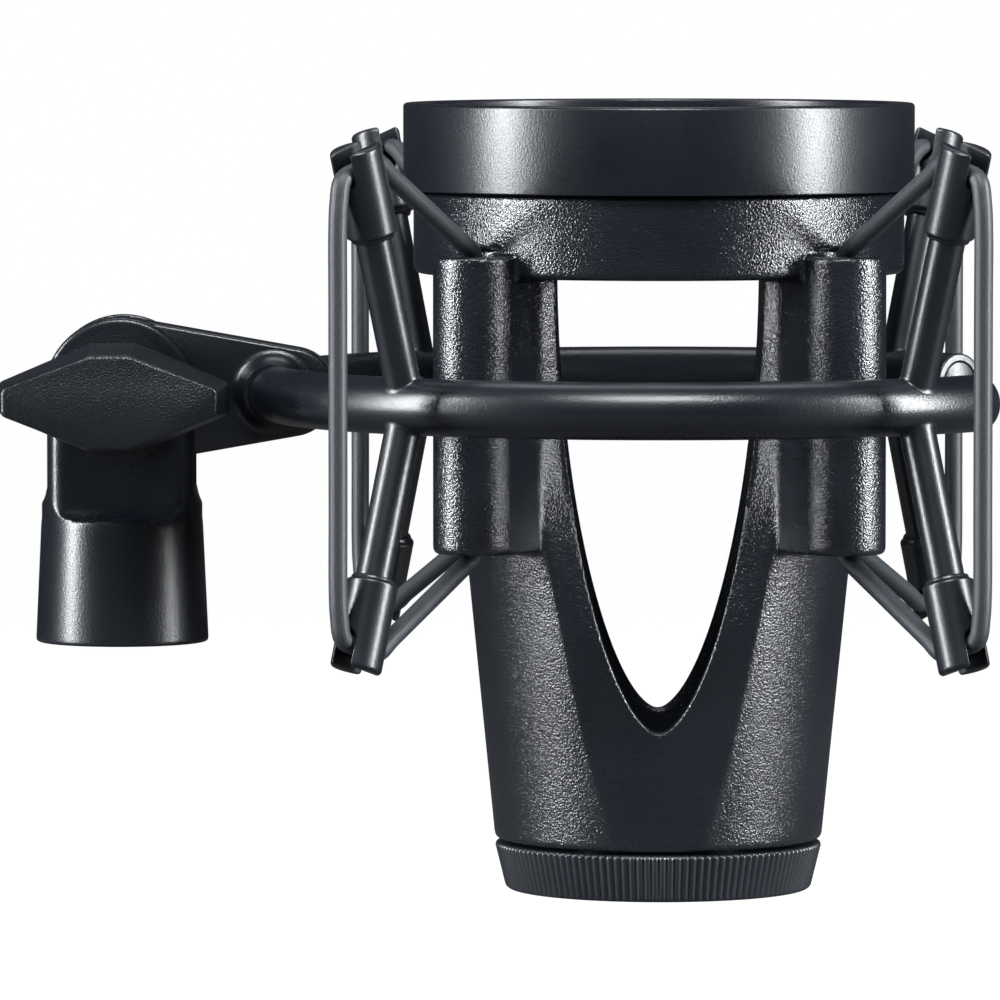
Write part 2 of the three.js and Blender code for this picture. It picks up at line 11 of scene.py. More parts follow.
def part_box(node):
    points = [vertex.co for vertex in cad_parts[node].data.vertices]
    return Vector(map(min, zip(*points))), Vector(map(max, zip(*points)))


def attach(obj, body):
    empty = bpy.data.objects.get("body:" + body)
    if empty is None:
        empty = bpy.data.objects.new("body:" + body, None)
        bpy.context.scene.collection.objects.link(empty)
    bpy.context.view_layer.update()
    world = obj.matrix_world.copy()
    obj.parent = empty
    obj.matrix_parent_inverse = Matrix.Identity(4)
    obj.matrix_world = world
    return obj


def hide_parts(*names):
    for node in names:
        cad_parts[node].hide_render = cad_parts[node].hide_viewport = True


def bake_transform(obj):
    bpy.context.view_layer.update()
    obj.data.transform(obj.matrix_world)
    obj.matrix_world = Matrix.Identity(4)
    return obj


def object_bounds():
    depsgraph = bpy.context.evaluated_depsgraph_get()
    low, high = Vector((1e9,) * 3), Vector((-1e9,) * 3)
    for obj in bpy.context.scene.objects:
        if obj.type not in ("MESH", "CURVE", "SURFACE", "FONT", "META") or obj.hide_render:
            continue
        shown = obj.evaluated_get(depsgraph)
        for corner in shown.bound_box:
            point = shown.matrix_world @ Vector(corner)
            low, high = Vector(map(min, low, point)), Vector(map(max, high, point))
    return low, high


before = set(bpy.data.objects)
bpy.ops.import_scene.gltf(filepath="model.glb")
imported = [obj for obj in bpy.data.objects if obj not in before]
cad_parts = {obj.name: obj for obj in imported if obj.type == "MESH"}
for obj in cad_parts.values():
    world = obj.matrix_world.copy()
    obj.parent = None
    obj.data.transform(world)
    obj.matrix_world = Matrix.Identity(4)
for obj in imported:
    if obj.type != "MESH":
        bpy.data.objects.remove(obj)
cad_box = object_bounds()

MM = 0.001


# ---- what the frame says, in millimetres ---------------------------------------------------------
def box_mm(node):
    low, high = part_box(node)
    return np.array(low) / MM, np.array(high) / MM


def centre_mm(node):
    low, high = box_mm(node)
    return (low + high) / 2


rim_low, rim_high = box_mm("rim_ring")
nut_low, nut_high = box_mm("ring_nut")
body_low, body_high = box_mm("cradle_body")
hoop_low, hoop_high = box_mm("hoop")
knob_low, knob_high = box_mm("wing_knob")
bolt_low, bolt_high = box_mm("pivot_bolt")
clamp_low, clamp_high = box_mm("clamp_washer")
insert_low, insert_high = box_mm("thread_insert")

CRADLE_X = (rim_low[0] + rim_high[0]) / 2
PIVOT_Z = centre_mm("friction_washer_front")[2]
TUBE_R = (hoop_high[2] - hoop_low[2]) / 2
HOOP_R = (hoop_high[1] - hoop_low[1]) / 2 - TUBE_R
GAP = 0.3              # between pieces that touch
PIVOT_HOLE_R = 3.25
WASHER_HOLE_R = 3.3
CORNERS = [(d, s) for d in ("front", "rear") for s in ("left", "right")]
SIGN = {"front": -1, "rear": 1, "left": -1, "right": 1}

STATION_ANGLE = math.radians(50.5)         # where the posts stand on the hoop, from the arm's line
LEAN = math.radians(17)                    # how far a post leans outward
HOOP_END_ANGLE = math.acos(45.5 / HOOP_R)  # where the open C ends
TUBE_BORE_R = 3.05
POST_R = 2.6
POST_PIN = {"r": 1.7, "length": 4.5}
CAP = {"r": 3.7, "start": 25.1, "tip": 38.7, "slot": 3.3, "depth": 5.6, "lip": 3.1}
CORD_R = 1.35
SEAT_LIFT = 0.7
STRAND_R = 71.4
GUIDE = {"x": 26.5, "y": 27.4, "r": 6.1, "low": 14.7, "high": 57.6, "hole": 1.9, "mouth": 3.3}
SKIRT = {"r": 36.0, "inner": 32.9, "low": 54.3, "spigot": 34.7}
CONE = {"r0": 26.9, "slope": 0.1, "wall": 2.9}
FACET_Y = 23.3
WEB_X = 17.4
WINDOW = {"half": 15.0, "height": 66.0, "power": 1.9, "round": 0.58}


# ---- mesh building -------------------------------------------------------------------------------
def fillet(points, closed=False, steps=5):
    """Rounds a polyline of (a, b, radius) corners with arcs. A radius of 0 keeps the corner sharp."""
    result = []
    count = len(points)
    for i, (a, b, radius) in enumerate(points):
        corner = np.array([a, b], float)
        if radius <= 0 or (not closed and i in (0, count - 1)):
            result.append(corner)
            continue
        before = np.array(points[i - 1][:2], float) - corner
        after = np.array(points[(i + 1) % count][:2], float) - corner
        u, v = before / np.linalg.norm(before), after / np.linalg.norm(after)
        half = math.acos(np.clip(u @ v, -1, 1)) / 2
        cut = min(radius / math.tan(half), 0.49 * np.linalg.norm(before), 0.49 * np.linalg.norm(after))
        r = cut * math.tan(half)
        middle = corner + (u + v) / np.linalg.norm(u + v) * r / math.sin(half)
        start, end = corner + u * cut - middle, corner + v * cut - middle
        turn = math.atan2(start[0] * end[1] - start[1] * end[0], start @ end)
        for k in range(steps + 1):
            c, s = math.cos(turn * k / steps), math.sin(turn * k / steps)
            result.append(middle + np.array([c * start[0] - s * start[1], s * start[0] + c * start[1]]))
    return result


def lathe(profile, segments=96, closed=False):
    """A turned solid about Z. The profile runs along the outside from the axis below to the axis
    above, or is a closed loop."""
    verts, faces, rows = [], [], []
    for r, z in profile:
        if r < 1e-6:
            rows.append([len(verts)])
            verts.append((0.0, 0.0, z))
            continue
        rows.append(list(range(len(verts), len(verts) + segments)))
        for k in range(segments):
            a = 2 * math.pi * k / segments
            verts.append((r * math.cos(a), r * math.sin(a), z))
    pairs = list(zip(rows, rows[1:] + rows[:1])) if closed else list(zip(rows, rows[1:]))
    for low, high in pairs:
        for k in range(segments):
            n = (k + 1) % segments
            if len(low) == 1 and len(high) == 1:
                continue
            if len(low) == 1:
                faces.append((low[0], high[n], high[k]))
            elif len(high) == 1:
                faces.append((low[k], low[n], high[0]))
            else:
                faces.append((low[k], low[n], high[n], high[k]))
    return np.array(verts), faces


def disc(radius, low, high, segments=96):
    return lathe([(0, low), (radius, low), (radius, high), (0, high)], segments)


def round_ring(verts, radius, z, segments):
    """Adds a ring of points about Z to verts and gives their numbers."""
    start = len(verts)
    for k in range(segments):
        a = 2 * math.pi * k / segments
        verts.append((radius * math.cos(a), radius * math.sin(a), z))
    return list(range(start, start + segments))


def bridged(rings, closed=False):
    """The quads between each ring of point numbers and the next."""
    faces = []
    for a, b in zip(rings, rings[1:] + rings[:1] if closed else rings[1:]):
        n = len(a)
        faces += [(a[k], a[(k + 1) % n], b[(k + 1) % n], b[k]) for k in range(n)]
    return faces


def capped(rings):
    """The faces of a solid through the rings, with its two ends."""
    return [tuple(reversed(rings[0])), tuple(rings[-1])] + bridged(rings)


def stacked(layers):
    """A solid through layers of equally many (x, y, z) points."""
    n = len(layers[0])
    rings = [list(range(i * n, (i + 1) * n)) for i in range(len(layers))]
    return np.array([point for layer in layers for point in layer], float), capped(rings)


def at_height(outline, z):
    return [(x, y, z) for x, y in outline]


def slab(outline, low, high):
    """An outline of (x, y) points drawn up from z = low to z = high."""
    return stacked([at_height(outline, low), at_height(outline, high)])


def cuboid(x0, x1, y0, y1, z0, z1):
    return slab([(x0, y0), (x1, y0), (x1, y1), (x0, y1)], z0, z1)


def moved(shape, matrix):
    verts, faces = shape
    m = np.array(matrix)
    return verts @ m[:3, :3].T + m[:3, 3], faces


def shifted(shape, x=0.0, y=0.0, z=0.0):
    return moved(shape, Matrix.Translation((x, y, z)))


def along_y(shape):
    """Lays a solid made along +Z on the pivot axis, along +Y."""
    return shifted(moved(shape, Matrix.Rotation(-math.pi / 2, 4, "X")), z=PIVOT_Z)


def make(name, shape, sharp_angle=None):
    """A Blender object, in metres, from a shape in millimetres, with its faces pointing out."""
    verts, faces = shape
    mesh = bpy.data.meshes.new(name)
    mesh.from_pydata((np.asarray(verts) * MM).tolist(), [], faces)
    work = bmesh.new()
    work.from_mesh(mesh)
    bmesh.ops.recalc_face_normals(work, faces=work.faces)
    if work.calc_volume(signed=True) < 0:
        bmesh.ops.reverse_faces(work, faces=work.faces)
    for face in work.faces:
        face.smooth = True
    if sharp_angle is not None:
        mark_sharp(work, sharp_angle)
    work.to_mesh(mesh)
    work.free()
    obj = bpy.data.objects.new(name, mesh)
    bpy.context.scene.collection.objects.link(obj)
    return obj


def mark_sharp(work, degrees):
    limit = math.radians(degrees)
    for edge in work.edges:
        edge.smooth = len(edge.link_faces) == 2 and edge.calc_face_angle(0) < limit


def sharpen(obj, degrees):
    work = bmesh.new()
    work.from_mesh(obj.data)
    for face in work.faces:
        face.smooth = True
    mark_sharp(work, degrees)
    work.to_mesh(obj.data)
    work.free()


def settle(obj):
    """Applies the object's modifiers to its mesh."""
    bpy.context.view_layer.update()
    evaluated = obj.evaluated_get(bpy.context.evaluated_depsgraph_get())
    mesh = bpy.data.meshes.new_from_object(evaluated)
    obj.modifiers.clear()
    old = obj.data
    obj.data = mesh
    bpy.data.meshes.remove(old)
    return obj


def carve(name, base, steps):
    """Joins ('UNION') or cuts ('DIFFERENCE', 'INTERSECT') the base with each (operation, shape)."""
    obj = make(name, base)
    tools = []
    for operation, shape in steps:
        tool = make(name + "_tool", shape)
        tools.append(tool)
        modifier = obj.modifiers.new("carve", "BOOLEAN")
        modifier.operation = operation
        modifier.solver = "MANIFOLD"
        modifier.object = tool
    settle(obj)
    for tool in tools:
        bpy.data.meshes.remove(tool.data)
    return obj


def soften(obj, voxel, smoothing, keep=None):
    """Rounds the edges of a carved solid: an even mesh of about voxel millimetres, then smoothed. It
    keeps the given share of the faces."""
    remesh = obj.modifiers.new("even", "REMESH")
    remesh.mode = "VOXEL"
    remesh.voxel_size = voxel * MM
    remesh.use_smooth_shade = True
    smooth = obj.modifiers.new("smooth", "SMOOTH")
    smooth.factor = 0.5
    smooth.iterations = smoothing
    if keep is not None:
        fewer = obj.modifiers.new("fewer", "DECIMATE")
        fewer.ratio = keep
    settle(obj)
    for face in obj.data.polygons:
        face.use_smooth = True
    return obj


def sweep(path, sideways, section):
    """A bar of the (u, v) section along the path, with u as near to sideways as the path lets it be."""
    tangents = np.gradient(path, axis=0)
    tangents /= np.linalg.norm(tangents, axis=1)[:, None]
    layers = []
    for p, t in zip(path, tangents):
        u = sideways - t * (sideways @ t)
        u /= np.linalg.norm(u)
        v = np.cross(t, u)
        layers.append([p + a * u + b * v for a, b in section])
    return stacked(layers)


# ---- materials -----------------------------------------------------------------------------------
def material(name):
    """A new material with its node tree, shader and a helper that adds a linked node."""
    made = bpy.data.materials.new(name)
    made.use_nodes = True
    tree = made.node_tree
    shader = tree.nodes["Principled BSDF"]

    def node(kind, links=None, **values):
        added = tree.nodes.new(kind)
        for key, value in values.items():
            setattr(added, key, value)
        for socket, source in (links or {}).items():
            if isinstance(source, bpy.types.NodeSocket):
                tree.links.new(source, added.inputs[socket])
            else:
                added.inputs[socket].default_value = source
        return added

    return made, tree, shader, node


def ramp(node, factor, low, high, colours):
    made = node("ShaderNodeValToRGB", {"Fac": factor})
    made.color_ramp.elements[0].position = low
    made.color_ramp.elements[1].position = high
    for element, colour in zip(made.color_ramp.elements, colours):
        element.color = (*colour, 1) if len(colour) == 3 else colour
    return made.outputs["Color"]


def spread(node, factor, low, high):
    """Maps a 0 to 1 factor to low to high."""
    made = node("ShaderNodeMapRange", {"Value": factor, "To Min": low, "To Max": high})
    return made.outputs["Result"]


def grained(name, dark, light, roughness, grain_mm, bump_mm, specular=0.5, pebble=False):
    """A coating or moulding with fine or pebbled grain, whose colour and roughness vary with it."""
    made, tree, shader, node = material(name)
    place = node("ShaderNodeTexCoord").outputs["Object"]
    grain_scale = 1 / (grain_mm * MM)
    if pebble:
        fine = node("ShaderNodeTexNoise", {
            "Vector": place, "Scale": grain_scale, "Detail": 1.0, "Roughness": 0.5,
        })
        height = ramp(node, fine.outputs["Fac"], 0.3, 0.72, ((0, 0, 0), (1, 1, 1)))
    else:
        fine = node("ShaderNodeTexNoise", {"Vector": place, "Scale": grain_scale, "Detail": 3.0})
        height = fine.outputs["Fac"]
    cloud = node("ShaderNodeTexNoise", {"Vector": place, "Scale": 45.0, "Detail": 4.0}).outputs["Fac"]
    both = {0: fine.outputs["Fac"], 1: 0.6, 2: cloud}
    mixed = node("ShaderNodeMath", both, operation="MULTIPLY_ADD").outputs[0]
    colour = ramp(node, mixed, 0.62, 0.98, (dark, light))
    tree.links.new(colour, shader.inputs["Base Color"])
    tree.links.new(spread(node, mixed, roughness - 0.10, roughness + 0.03), shader.inputs["Roughness"])
    shader.inputs["Specular IOR Level"].default_value = specular
    relief = node("ShaderNodeBump", {"Height": height, "Strength": 1.0, "Distance": bump_mm * MM})
    tree.links.new(relief.outputs["Normal"], shader.inputs["Normal"])
    return made


def plain_metal(name, colour, roughness):
    """Machined metal with a fine uneven finish."""
    made, tree, shader, node = material(name)
    place = node("ShaderNodeTexCoord").outputs["Object"]
    shader.inputs["Metallic"].default_value = 1.0
    fine = node("ShaderNodeTexNoise", {"Vector": place, "Scale": 900.0, "Detail": 3.0}).outputs["Fac"]
    shade = [tuple(c * f for c in colour) for f in (0.8, 1.05)]
    tree.links.new(ramp(node, fine, 0.3, 0.7, shade), shader.inputs["Base Color"])
    tree.links.new(spread(node, fine, roughness, roughness + 0.15), shader.inputs["Roughness"])
    relief = node("ShaderNodeBump", {"Height": fine, "Strength": 0.6, "Distance": 0.02 * MM})
    tree.links.new(relief.outputs["Normal"], shader.inputs["Normal"])
    return made


def elastic_material():
    """Blue-grey rubbery cord with fine lengthwise ribs, which follow its UV map."""
    ribs_round = 22
    made, tree, shader, node = material("elastic")
    uv = node("ShaderNodeTexCoord").outputs["UV"]
    place = node("ShaderNodeTexCoord").outputs["Object"]
    parts = node("ShaderNodeSeparateXYZ", {"Vector": uv})
    round_once = {0: parts.outputs["X"], 1: 2 * math.pi * ribs_round}
    turns = node("ShaderNodeMath", round_once, operation="MULTIPLY")
    rib = node("ShaderNodeMath", {0: turns.outputs[0]}, operation="SINE").outputs[0]
    fine = node("ShaderNodeTexNoise", {"Vector": place, "Scale": 2500.0, "Detail": 2.0}).outputs["Fac"]
    height = node("ShaderNodeMath", {0: rib, 1: 0.25, 2: fine}, operation="MULTIPLY_ADD").outputs[0]
    colour = ramp(node, fine, 0.3, 0.75, ((0.014, 0.017, 0.020), (0.026, 0.031, 0.036)))
    tree.links.new(colour, shader.inputs["Base Color"])
    tree.links.new(spread(node, fine, 0.42, 0.6), shader.inputs["Roughness"])
    relief = node("ShaderNodeBump", {"Height": height, "Strength": 0.6, "Distance": 0.03 * MM})
    tree.links.new(relief.outputs["Normal"], shader.inputs["Normal"])
    return made


INK = (0.0034, 0.0046, 0.0072)        # the blue-black that the coated and moulded pieces share
INK_LIGHT = (0.0056, 0.0072, 0.0100)
satin = grained("satin_black", INK, INK_LIGHT, 0.29, 0.30, 0.034)
semi_gloss = grained("semi_gloss_black", INK, INK_LIGHT, 0.31, 0.28, 0.026)
pebbled = grained(
    "pebbled_black", INK, (0.0064, 0.0082, 0.0116), 0.23, 0.29, 0.046, specular=0.68, pebble=True
)
matte = grained(
    "matte_black", (0.0016, 0.0024, 0.0040), (0.0032, 0.0044, 0.0070), 0.34, 0.30, 0.040, pebble=True
)
knurled = grained("knurled_black", (0.0085, 0.0105, 0.0140), (0.0145, 0.0170, 0.0215), 0.34, 0.25, 0.015)
fibre = grained("fibre", (0.030, 0.024, 0.020), (0.05, 0.04, 0.034), 0.8, 0.3, 0.03)
brass = plain_metal("brass", (0.72, 0.52, 0.24), 0.25)
steel = plain_metal("zinc_steel", (0.55, 0.56, 0.58), 0.3)
elastic = elastic_material()


def dress(obj, look, slot, body=None, *nodes):
    """Gives a piece its material, sets it on its body and hides what it stands for. Its slot is not used."""
    obj.data.materials.clear()
    obj.data.materials.append(look)
    if body:
        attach(obj, body)
    if nodes:
        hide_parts(*nodes)
    return obj


SATIN_SLOT, GLOSS_SLOT = "satin_black_metal", "gloss_black_plastic"
TEXTURED_SLOT, CORD_SLOT = "textured_black_plastic", "elastic_cord"


# ---- camera, lights and floor --------------------------------------------------------------------
def make_camera():
    yaw, pitch = math.radians(0.745), math.radians(3.54)
    target, distance = Vector((55.6, 0, 20.8)) * MM, 1323.5 * MM
    data = bpy.data.cameras.new("camera")
    data.sensor_width = 36
    data.lens = 324
    camera = bpy.data.objects.new("camera", data)
    bpy.context.scene.collection.objects.link(camera)
    level_part = math.cos(pitch)
    forward = Vector((-math.sin(yaw) * level_part, math.cos(yaw) * level_part, -math.sin(pitch)))
    camera.location = target - forward * distance
    camera.rotation_euler = forward.to_track_quat("-Z", "Y").to_euler()
    data.clip_start, data.clip_end = 0.05, 50
    bpy.context.scene.camera = camera


LIGHT_AIM = Vector((0.06, 0, 0.02))    # about the part's middle
LIGHT_TINT = (0.95, 0.975, 1.0)


def make_light(name, azimuth, elevation, distance, width, height, power):
    """A soft box that faces the cradle. Azimuth 0 is behind the camera, 90 is the object's right."""
    data = bpy.data.lights.new(name, "AREA")
    data.shape = "RECTANGLE"
    data.size, data.size_y = width, height
    data.energy = power
    data.color = LIGHT_TINT
    light = bpy.data.objects.new(name, data)
    bpy.context.scene.collection.objects.link(light)
    a, e = math.radians(azimuth), math.radians(elevation)
    back = Vector((math.sin(a) * math.cos(e), -math.cos(a) * math.cos(e), math.sin(e)))
    light.location = LIGHT_AIM + back * distance
    light.rotation_euler = back.to_track_quat("Z", "Y").to_euler()


FLOOR_DROP = 0.04      # metres below the part at rest, where the tilted cradle stays clear of it
FLOOR_GLOW = 0.98      # keeps the floor white to the camera without lighting the part from below
ROOM_LIGHT = 0.09      # the dim studio around the camera, as the part's surfaces see it
ROOM_TINT = (0.76, 0.87, 1.0, 1)
BACKDROP_LIGHT = 0.04  # the backdrop as the part's edges mirror it


def make_world():
    """A white backdrop to the camera, and a dim bluish room to the part's surfaces."""
    world = bpy.data.worlds.new("studio")
    bpy.context.scene.world = world
    world.use_nodes = True
    tree = world.node_tree
    background = tree.nodes["Background"]
    seen = tree.nodes.new("ShaderNodeLightPath").outputs["Is Camera Ray"]
    way = tree.nodes.new("ShaderNodeSeparateXYZ")
    tree.links.new(tree.nodes.new("ShaderNodeTexCoord").outputs["Generated"], way.inputs["Vector"])
    backdrop = tree.nodes.new("ShaderNodeMapRange")
    tree.links.new(way.outputs["Y"], backdrop.inputs["Value"])
    backdrop.inputs["From Min"].default_value = 0.3
    backdrop.inputs["From Max"].default_value = 0.9
    backdrop.inputs["To Min"].default_value = ROOM_LIGHT
    backdrop.inputs["To Max"].default_value = BACKDROP_LIGHT
    strength = tree.nodes.new("ShaderNodeMapRange")
    tree.links.new(seen, strength.inputs["Value"])
    tree.links.new(backdrop.outputs["Result"], strength.inputs["To Min"])
    strength.inputs["To Max"].default_value = 1.0
    tint = tree.nodes.new("ShaderNodeMixRGB")
    tree.links.new(seen, tint.inputs["Fac"])
    tint.inputs["Color1"].default_value = ROOM_TINT
    tint.inputs["Color2"].default_value = (1, 1, 1, 1)
    tree.links.new(tint.outputs["Color"], background.inputs["Color"])
    tree.links.new(strength.outputs["Result"], background.inputs["Strength"])


def make_lights():
    make_light("left_box", -72.5, 8, 0.9, 0.16, 1.0, 28)
    make_light("right_box", 73, 8, 0.9, 0.16, 1.0, 29)
    make_light("top_box", 0, 52, 0.9, 0.4, 0.2, 9)
    make_light("back_box", 180, 66, 0.9, 0.5, 0.25, 1.4)
    make_light("front_fill", -12, 30, 1.4, 0.4, 0.4, 0.4)


def make_floor():
    half, thickness = 3000, 2
    floor = make("floor", cuboid(-half, half, -half, half, -thickness, 0))
    floor.location.z = cad_box[0].z - FLOOR_DROP
    look, tree, shader, node = material("floor")
    place = node("ShaderNodeTexCoord").outputs["Object"]
    cloud = node("ShaderNodeTexNoise", {"Vector": place, "Scale": 3.0}).outputs["Fac"]
    greys = ((0.05, 0.05, 0.05), (0.06, 0.06, 0.06))
    tree.links.new(ramp(node, cloud, 0.3, 0.7, greys), shader.inputs["Base Color"])
    shader.inputs["Roughness"].default_value = 0.8
    shader.inputs["Emission Color"].default_value = (1, 1, 1, 1)
    seen = node("ShaderNodeLightPath").outputs["Is Camera Ray"]
    tree.links.new(spread(node, seen, 0.0, FLOOR_GLOW), shader.inputs["Emission Strength"])
    floor.data.materials.append(look)


make_camera()
make_world()
make_lights()
make_floor()
bpy.context.scene.view_settings.view_transform = "Standard"


# ---- stand adapter and pivot hardware ------------------------------------------------------------
COLUMN = {"r": 11.8, "y": 7.1, "x": 10.87, "corner": 2.4, "ledge": 18.5, "ear": 11.1}


def column_outline(grow, steps=10):
    """The column's plan: round ends, flat front and back, rounded corners, grown outward by grow."""
    corner = COLUMN["corner"]
    cy = COLUMN["y"] - corner
    cx = math.sqrt((COLUMN["r"] - corner) ** 2 - cy ** 2)
    tangent = math.atan2(cy, cx)
    quarter = []
    for k in range(steps + 1):
        a = tangent * k / steps
        quarter.append(((COLUMN["r"] + grow) * math.cos(a), (COLUMN["r"] + grow) * math.sin(a)))
    for k in range(1, steps + 1):
        a = tangent + (math.pi / 2 - tangent) * k / steps
        quarter.append((cx + (corner + grow) * math.cos(a), cy + (corner + grow) * math.sin(a)))
    right = quarter + [(-x, y) for x, y in reversed(quarter)]
    return right + [(-x, -y) for x, y in right[1:-1]]


def side_cut(side, wall, ledge, radius, top):
    """What is cut away beyond a side wall and above a ledge, with a round inner corner."""
    far, steps = 30, 10
    outline = [(wall, top)]
    for k in range(steps + 1):
        a = math.pi / 2 * k / steps
        outline.append((wall + radius - radius * math.cos(a), ledge + radius - radius * math.sin(a)))
    outline += [(far, ledge), (far, top)]
    place = Matrix(((side, 0, 0, 0), (0, 0, 1, 0), (0, 1, 0, 0), (0, 0, 0, 1)))
    return moved(slab(outline, -far, far), place)


def make_stand_adapter():
    mouth, slot_half, floor_z, bore, depth = 12.7, 4.6, 22.8, 9.5, 16.6
    boss_r, boss_end, nut_pocket_half = 7.8, 12.6, 5.3
    r, ear_r, ear_y, ledge, fillet_r = (COLUMN[k] for k in ("r", "ear", "y", "ledge", "corner"))
    side_ledge, side_fillet, far = ledge + 0.6, 3.8, 60
    lower = lathe(fillet([(0, 0, 0), (mouth, 0, 0.35), (r + 0.05, ledge, 0.9), (0, ledge, 0)]), 160)
    layers = [at_height(column_outline(fillet_r), ledge - 3)]
    for k in range(9):
        a = math.pi / 2 * k / 8
        z = ledge - 0.05 + fillet_r * (1 - math.cos(a))
        layers.append(at_height(column_outline(fillet_r * (1 - math.sin(a))), z))
    layers.append(at_height(column_outline(0), PIVOT_Z))
    within = disc(r, ledge - 4, PIVOT_Z + 1, 160)
    column = as_shape(carve("column", stacked(layers), [("INTERSECT", within)]))
    ear = [(0, -ear_y, 0), (ear_r, -ear_y, 0.8), (ear_r, ear_y, 0.8), (0, ear_y, 0)]
    boss = [(0, 5.6, 0), (boss_r, 5.6, 0), (boss_r, boss_end, 0.4), (0, boss_end, 0)]
    socket = [(0, -1, 0), (bore, -1, 0), (bore, depth, 0.2), (0, depth, 0)]
    obj = carve("stand_adapter_shell", lower, [
        ("UNION", column),
        ("DIFFERENCE", side_cut(1, COLUMN["x"], side_ledge, side_fillet, far)),
        ("DIFFERENCE", side_cut(-1, COLUMN["x"], side_ledge, side_fillet, far)),
        ("UNION", along_y(lathe(fillet(ear), 160))),
        ("UNION", along_y(lathe(fillet(boss), 96))),
        ("DIFFERENCE", cuboid(-20, 20, -slot_half, slot_half, floor_z, far)),
        ("DIFFERENCE", lathe(fillet(socket), 96)),
        ("DIFFERENCE", along_y(disc(PIVOT_HOLE_R, -30, 30, 48))),
        ("DIFFERENCE", along_y(disc(nut_pocket_half / math.cos(math.pi / 6), ear_y + 0.2, 30, 6))),
    ])
    soften(obj, 0.26, 3)
    return dress(obj, satin, SATIN_SLOT, "stand", "stand_adapter")


def as_shape(obj):
    """Takes an object's mesh back as a shape in millimetres and removes the object."""
    verts = np.array([v.co for v in obj.data.vertices]) / MM
    faces = [tuple(p.vertices) for p in obj.data.polygons]
    bpy.data.meshes.remove(obj.data)
    return verts, faces


def threads(radius, low, high, pitch, depth, segments):
    """Rings of a helical thread, which is depth high. A negative depth points inward."""
    verts, rings = [], []
    steps = int((high - low) / pitch * 8)
    for i in range(steps + 1):
        z = low + (high - low) * i / steps
        fade = max(min(1, (z - low) / pitch, (high - z) / pitch), 0)
        rings.append(list(range(len(verts), len(verts) + segments)))
        for k in range(segments):
            a = 2 * math.pi * k / segments
            phase = (z / pitch - k / segments) % 1
            crest = depth * (1 - abs(2 * phase - 1))
            r = radius + crest * fade
            verts.append((r * math.cos(a), r * math.sin(a), z))
    return verts, rings


def make_thread_insert():
    low, high = insert_low[2], insert_high[2]
    outer, bore, bevel = (insert_high[0] - insert_low[0]) / 2, 7.95, 0.3
    segments = 72
    verts, rings = threads(bore, low + 0.6, high - 0.2, 25.4 / 27, -0.45, segments)
    rings.reverse()
    for r, z in [
        (bore + 0.5, low), (outer - bevel, low), (outer, low + bevel),
        (outer, high - bevel), (outer - bevel, high), (bore, high),
    ]:
        rings.append(round_ring(verts, r, z, segments))
    obj = make("brass_insert", (np.array(verts), bridged(rings, closed=True)))
    return dress(obj, brass, "brass", "stand", "thread_insert")


def make_nut():
    low, high = box_mm("pivot_nut")
    start, end = low[1], high[1]
    across_flats = 10
    corner = across_flats / 2 / math.cos(math.pi / 6)
    turned = lathe([
        (0, start - 1), (corner + 1, start - 1), (corner + 0.2, end - 1.0), (corner - 0.9, end + 0.02),
        (0, end + 0.02),
    ], 64)
    nut = carve("hex_nut", along_y(disc(corner, start, end, 6)), [
        ("INTERSECT", along_y(turned)), ("DIFFERENCE", along_y(disc(PIVOT_HOLE_R, 0, 30, 64))),
    ])
    sharpen(nut, 25)
    return dress(nut, steel, "zinc_steel", "stand", "pivot_nut")


def washer(name, radius, start, end, inner_edge, outer_edge):
    """A flat ring on the pivot axis, from y = start to y = end, with slightly rounded edges."""
    profile = fillet([
        (WASHER_HOLE_R, start, inner_edge), (radius, start, outer_edge),
        (radius, end, outer_edge), (WASHER_HOLE_R, end, inner_edge),
    ], closed=True)
    return make(name, along_y(lathe(profile, 96, closed=True)))


def make_washers():
    plain = washer("plain_washer", 7.4, clamp_low[1], clamp_high[1], 0.1, 0.15)
    dress(plain, steel, "zinc_steel", "clamp_washer", "clamp_washer")
    for side in ("front", "rear"):
        node = f"friction_washer_{side}"
        low, high = box_mm(node)
        ring = washer(f"fibre_ring_{side}", 9, low[1], high[1], 0.08, 0.1)
        dress(ring, fibre, "fibre_washer", "hoop_frame", node)


def make_bolt():
    start, end = bolt_low[1], bolt_high[1]
    head_r, head_end, shank_r, tip_r = 4.1, knob_high[1] - 0.8, 2.9, 2.4
    segments = 48
    verts, threaded = threads(2.72, COLUMN["y"] - 1, end - 0.5, 1.0, 0.18, segments)
    before = [(head_r, start), (head_r, head_end), (shank_r, head_end), (shank_r, COLUMN["y"] - 2.2)]
    rings = [round_ring(verts, r, z, segments) for r, z in before]
    rings += threaded + [round_ring(verts, tip_r, end, segments)]
    obj = make("threaded_bolt", along_y((np.array(verts), capped(rings))), sharp_angle=40)
    return dress(obj, steel, "zinc_steel", "knob", "pivot_bolt")


make_stand_adapter()
make_thread_insert()
make_nut()
make_washers()
make_bolt()


# ---- wing knob -----------------------------------------------------------------------------------
def paddle_outline(half_w, half_h, top_flat, end_flat, corner):
    """The paddle's (x, z) outline: a long hexagon with rounded corners and small end flats."""
    blunt = corner * 1.6
    return fillet([
        (half_w, -end_flat, corner), (half_w, end_flat, corner), (top_flat, half_h, blunt),
        (-top_flat, half_h, blunt), (-half_w, end_flat, corner), (-half_w, -end_flat, corner),
        (-top_flat, -half_h, blunt), (top_flat, -half_h, blunt),
    ], closed=True, steps=5)


